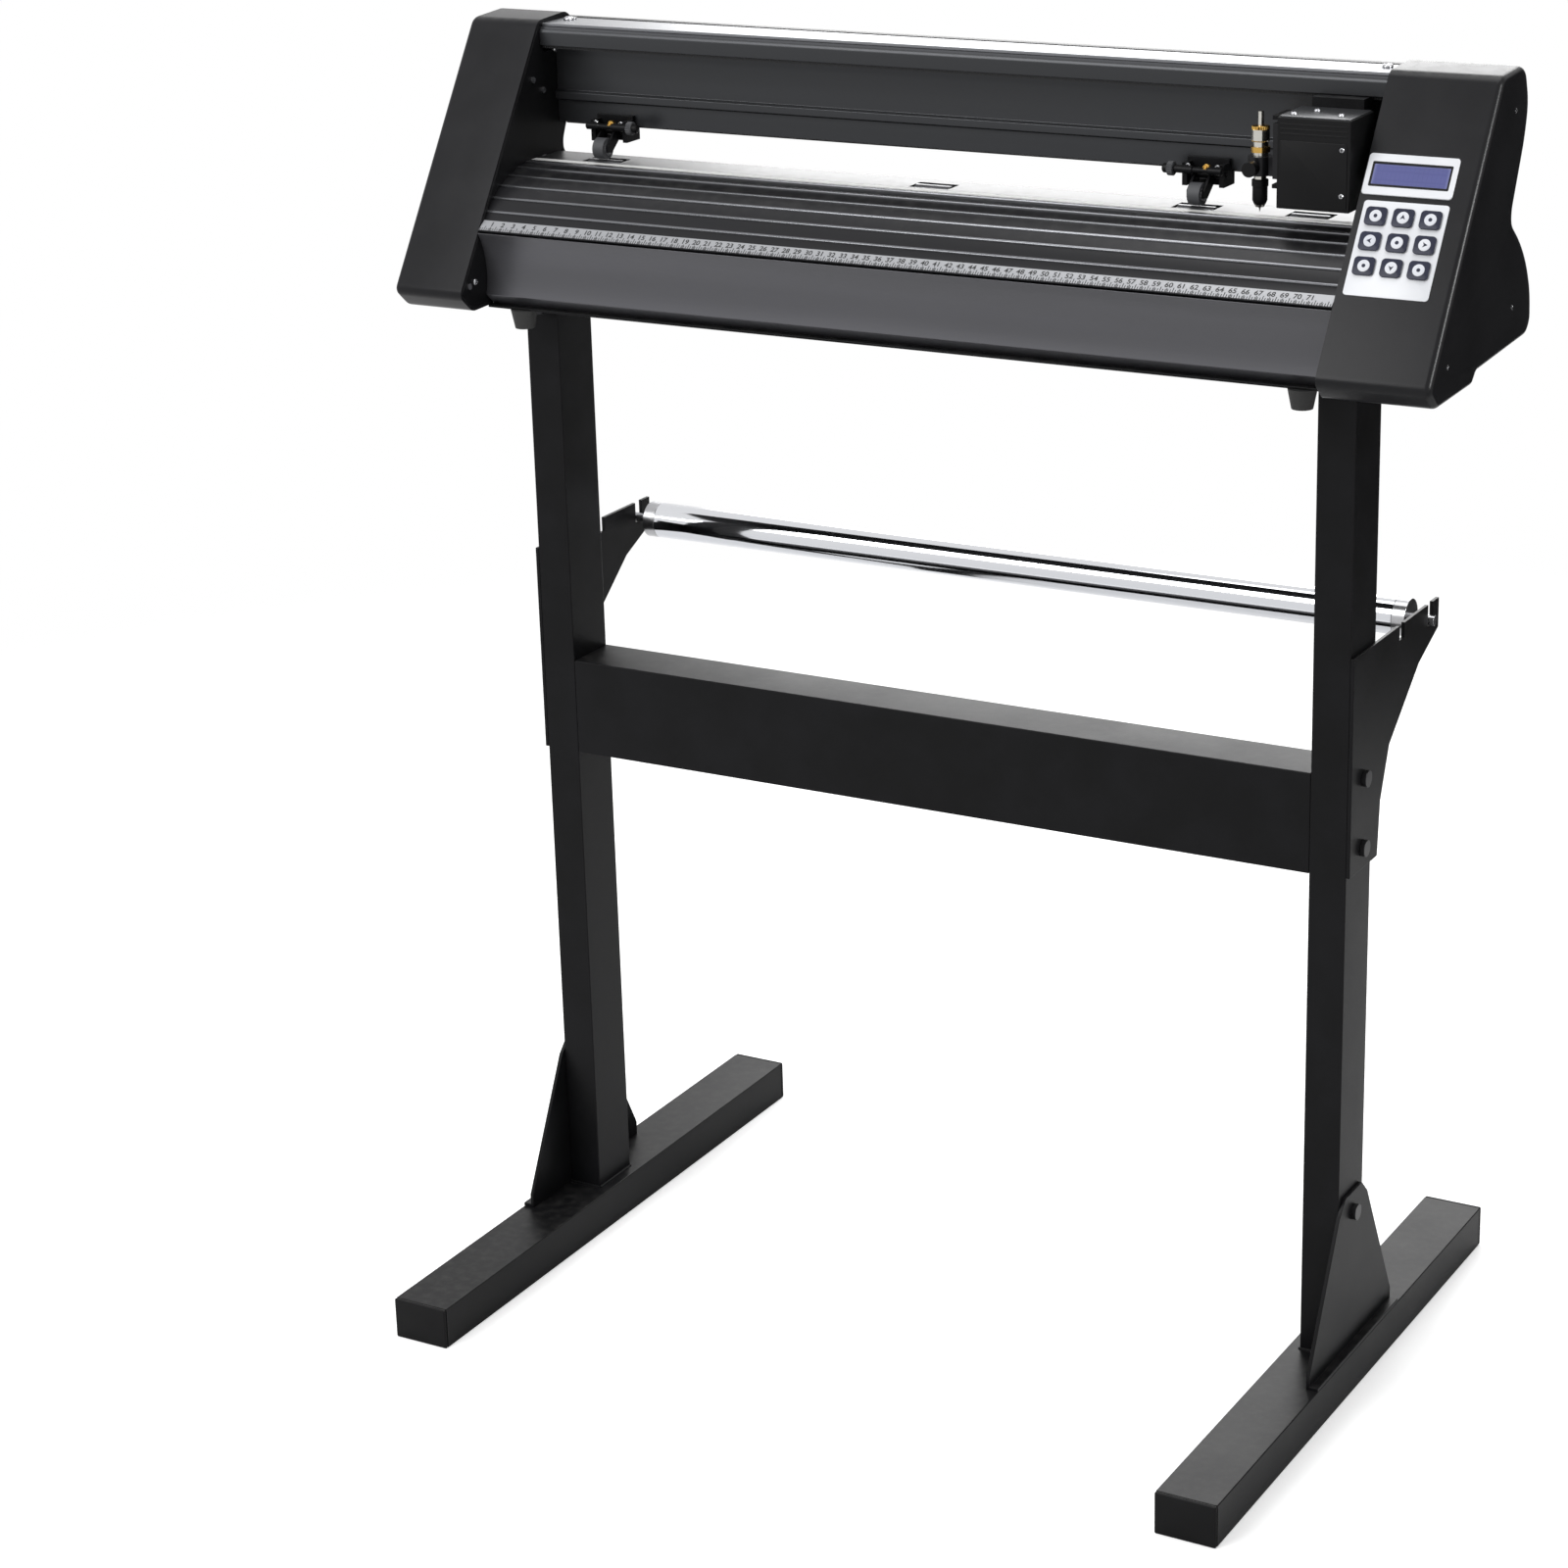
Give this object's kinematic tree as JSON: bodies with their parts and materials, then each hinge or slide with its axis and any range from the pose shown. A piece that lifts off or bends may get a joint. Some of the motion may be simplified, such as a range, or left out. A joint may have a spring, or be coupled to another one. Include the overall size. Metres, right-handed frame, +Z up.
{
  "type": "vinyl cutting plotter on floor stand",
  "caption": "Floor-standing roll-fed vinyl cutter: slanted end covers, beam with sliding tool carriage, curved platen, keypad and rear media roller.",
  "frame": {"origin": "on the floor, midway between the feet and midway across the machine", "axes": "+Z up, -Y towards the operator, +X to the operator's right"},
  "size_m": [0.88, 0.56, 1.04],
  "materials": {
    "black_steel": "fine textured powder coat",
    "black_plastic": "moulded, fine grain",
    "black_aluminium": "satin black anodised",
    "chrome": "polished",
    "steel": "ground",
    "silver": "satin",
    "white": "printed film",
    "display": "backlit screen",
    "navy": "printed key",
    "rubber": "moulded",
    "wheel_rubber": "ground",
    "belt": "toothed",
    "brass": "turned",
    "board": "solder mask"
  },
  "bodies": {
    "root": {"base_plate": "black_steel", "crossbar": "black_steel", "cutting_strip": "white", "display_bezel": "white", "display_window": "display", "drive_belts": "belt", "foot_end_caps": "black_plastic", "foot_gussets": "black_steel", "front_apron": "black_aluminium", "housing_screws": "steel", "keypad_panel": "white", "left_end_cover": "black_plastic", "left_foot_bar": "black_steel", "left_post": "black_steel", "main_board": "board", "platen": "black_aluminium", "power_supply": "steel", "rail_beam": "black_aluminium", "rear_cover": "black_plastic", "right_end_cover": "black_plastic", "right_foot_bar": "black_steel", "right_post": "black_steel", "roller_brackets": "black_steel", "rubber_feet": "rubber", "ruler_tape": "silver", "shaft_bearings": "steel", "side_plates": "black_steel", "side_sockets": "black_plastic", "stand_bolts": "steel", "stepper_motors": "steel", "top_strip": "silver"},
    "media_roller_carrier": {"media_roller_ends": "steel"},
    "media_roller": {"media_roller_tube": "chrome"},
    "feed_drums": {"feed_shaft": "steel"},
    "feed_motor_rotor": {"feed_motor_pulley": "steel"},
    "drive_pulley": {"belt_drive_pulley": "steel"},
    "idler_pulley": {"belt_idler_pulley": "steel"},
    "left_pinch_unit": {"left_pinch_bracket": "black_steel"},
    "left_pinch_lever": {"left_pinch_arm": "black_steel"},
    "left_pinch_roller": {"left_pinch_wheel": "wheel_rubber"},
    "right_pinch_unit": {"right_pinch_bracket": "black_steel"},
    "right_pinch_lever": {"right_pinch_arm": "black_steel"},
    "right_pinch_roller": {"right_pinch_wheel": "wheel_rubber"},
    "carriage": {"carriage_frame": "black_steel", "carriage_cover": "black_plastic"},
    "tool_lift": {"lift_block": "black_aluminium", "blade_holder": "steel"},
    "depth_adjuster": {"depth_ring": "brass"},
    "swivel_blade": {"blade": "steel"},
    "tool_clamp_screw": {"clamp_screw": "steel"},
    "switch_rocker": {"power_rocker": "black_plastic"},
    "key_1_cap": {"key_1": "navy"},
    "key_2_cap": {"key_2": "navy"},
    "key_3_cap": {"key_3": "navy"},
    "key_4_cap": {"key_4": "navy"},
    "key_5_cap": {"key_5": "navy"},
    "key_6_cap": {"key_6": "navy"},
    "key_7_cap": {"key_7": "navy"},
    "key_8_cap": {"key_8": "navy"},
    "key_9_cap": {"key_9": "navy"}
  },
  "joints": [
    {"name": "media_roller_lift", "type": "slide", "parent": "root", "child": "media_roller_carrier", "axis": [0, 0, 1], "range_m": [0, 0.04]},
    {"name": "media_roller_spin", "type": "hinge", "parent": "media_roller_carrier", "child": "media_roller", "pos_m": [0, 0.132, 0.6003], "axis": [1, 0, 0], "continuous": true},
    {"name": "feed_spin", "type": "hinge", "parent": "root", "child": "feed_drums", "pos_m": [0, 0.037, 0.9216], "axis": [1, 0, 0], "continuous": true},
    {"name": "feed_motor_spin", "type": "hinge", "parent": "root", "child": "feed_motor_rotor", "pos_m": [0.37, 0.012, 0.866], "axis": [1, 0, 0], "continuous": true},
    {"name": "carriage_slide", "type": "slide", "parent": "root", "child": "carriage", "axis": [1, 0, 0], "range_m": [-0.6, 0]},
    {"name": "drive_pulley_spin", "type": "hinge", "parent": "root", "child": "drive_pulley", "pos_m": [0.386, 0.0515, 1.018], "axis": [0, 0, 1], "range_deg": [-5268, 20]},
    {"name": "idler_pulley_spin", "type": "hinge", "parent": "root", "child": "idler_pulley", "pos_m": [-0.398, 0.0515, 1.018], "axis": [0, 0, 1], "range_deg": [-5268, 20]},
    {"name": "tool_lift_slide", "type": "slide", "parent": "carriage", "child": "tool_lift", "axis": [0, 0, 1], "range_m": [-0.003, 0], "stiffness_N_per_m": 400, "springref_m": 0.008},
    {"name": "depth_ring_turn", "type": "hinge", "parent": "tool_lift", "child": "depth_adjuster", "pos_m": [0.262, 0.021, 0.978], "axis": [0, 0, 1], "range_deg": [-180, 180]},
    {"name": "blade_swivel", "type": "hinge", "parent": "tool_lift", "child": "swivel_blade", "pos_m": [0.262, 0.021, 0.94], "axis": [0, 0, 1], "continuous": true},
    {"name": "clamp_screw_turn", "type": "hinge", "parent": "tool_lift", "child": "tool_clamp_screw", "pos_m": [0.262, 0.002, 0.9666], "axis": [0, 1, 0], "range_deg": [0, 540]},
    {"name": "power_switch_rock", "type": "hinge", "parent": "root", "child": "switch_rocker", "pos_m": [-0.433, 0.042, 0.868], "axis": [0, 1, 0], "range_deg": [-6, 6]},
    {"name": "left_pinch_slide", "type": "slide", "parent": "root", "child": "left_pinch_unit", "axis": [1, 0, 0], "range_m": [-0.03, 0.15]},
    {"name": "left_pinch_lift", "type": "hinge", "parent": "left_pinch_unit", "child": "left_pinch_lever", "pos_m": [-0.318, 0.052, 0.951], "axis": [1, 0, 0], "range_deg": [-6, 0], "stiffness_Nm_per_rad": 0.6, "springref_deg": 20.05},
    {"name": "left_pinch_spin", "type": "hinge", "parent": "left_pinch_lever", "child": "left_pinch_roller", "pos_m": [-0.318, 0.037, 0.9384], "axis": [1, 0, 0], "continuous": true},
    {"name": "right_pinch_slide", "type": "slide", "parent": "root", "child": "right_pinch_unit", "axis": [1, 0, 0], "range_m": [-0.15, 0.03]},
    {"name": "right_pinch_lift", "type": "hinge", "parent": "right_pinch_unit", "child": "right_pinch_lever", "pos_m": [0.205, 0.052, 0.951], "axis": [1, 0, 0], "range_deg": [-6, 0], "stiffness_Nm_per_rad": 0.6, "springref_deg": 20.05},
    {"name": "right_pinch_spin", "type": "hinge", "parent": "right_pinch_lever", "child": "right_pinch_roller", "pos_m": [0.205, 0.037, 0.9384], "axis": [1, 0, 0], "continuous": true},
    {"name": "key_1_press", "type": "slide", "parent": "root", "child": "key_1_cap", "axis": [0, 0.8346, -0.5508], "range_m": [0, 0.0006], "stiffness_N_per_m": 800, "springref_m": -0.0003},
    {"name": "key_2_press", "type": "slide", "parent": "root", "child": "key_2_cap", "axis": [0, 0.8346, -0.5508], "range_m": [0, 0.0006], "stiffness_N_per_m": 800, "springref_m": -0.0003},
    {"name": "key_3_press", "type": "slide", "parent": "root", "child": "key_3_cap", "axis": [0, 0.8346, -0.5508], "range_m": [0, 0.0006], "stiffness_N_per_m": 800, "springref_m": -0.0003},
    {"name": "key_4_press", "type": "slide", "parent": "root", "child": "key_4_cap", "axis": [0, 0.8346, -0.5508], "range_m": [0, 0.0006], "stiffness_N_per_m": 800, "springref_m": -0.0003},
    {"name": "key_5_press", "type": "slide", "parent": "root", "child": "key_5_cap", "axis": [0, 0.8346, -0.5508], "range_m": [0, 0.0006], "stiffness_N_per_m": 800, "springref_m": -0.0003},
    {"name": "key_6_press", "type": "slide", "parent": "root", "child": "key_6_cap", "axis": [0, 0.8346, -0.5508], "range_m": [0, 0.0006], "stiffness_N_per_m": 800, "springref_m": -0.0003},
    {"name": "key_7_press", "type": "slide", "parent": "root", "child": "key_7_cap", "axis": [0, 0.8346, -0.5508], "range_m": [0, 0.0006], "stiffness_N_per_m": 800, "springref_m": -0.0003},
    {"name": "key_8_press", "type": "slide", "parent": "root", "child": "key_8_cap", "axis": [0, 0.8346, -0.5508], "range_m": [0, 0.0006], "stiffness_N_per_m": 800, "springref_m": -0.0003},
    {"name": "key_9_press", "type": "slide", "parent": "root", "child": "key_9_cap", "axis": [0, 0.8346, -0.5508], "range_m": [0, 0.0006], "stiffness_N_per_m": 800, "springref_m": -0.0003}
  ],
  "couplings": [
    {"joint": "feed_motor_spin", "follows": "feed_spin", "ratio": 3},
    {"joint": "left_pinch_spin", "follows": "feed_spin", "ratio": -0.9412},
    {"joint": "right_pinch_spin", "follows": "feed_spin", "ratio": -0.9412},
    {"joint": "drive_pulley_spin", "follows": "carriage_slide", "rad_per_m": 152.67},
    {"joint": "idler_pulley_spin", "follows": "carriage_slide", "rad_per_m": 152.67}
  ]
}
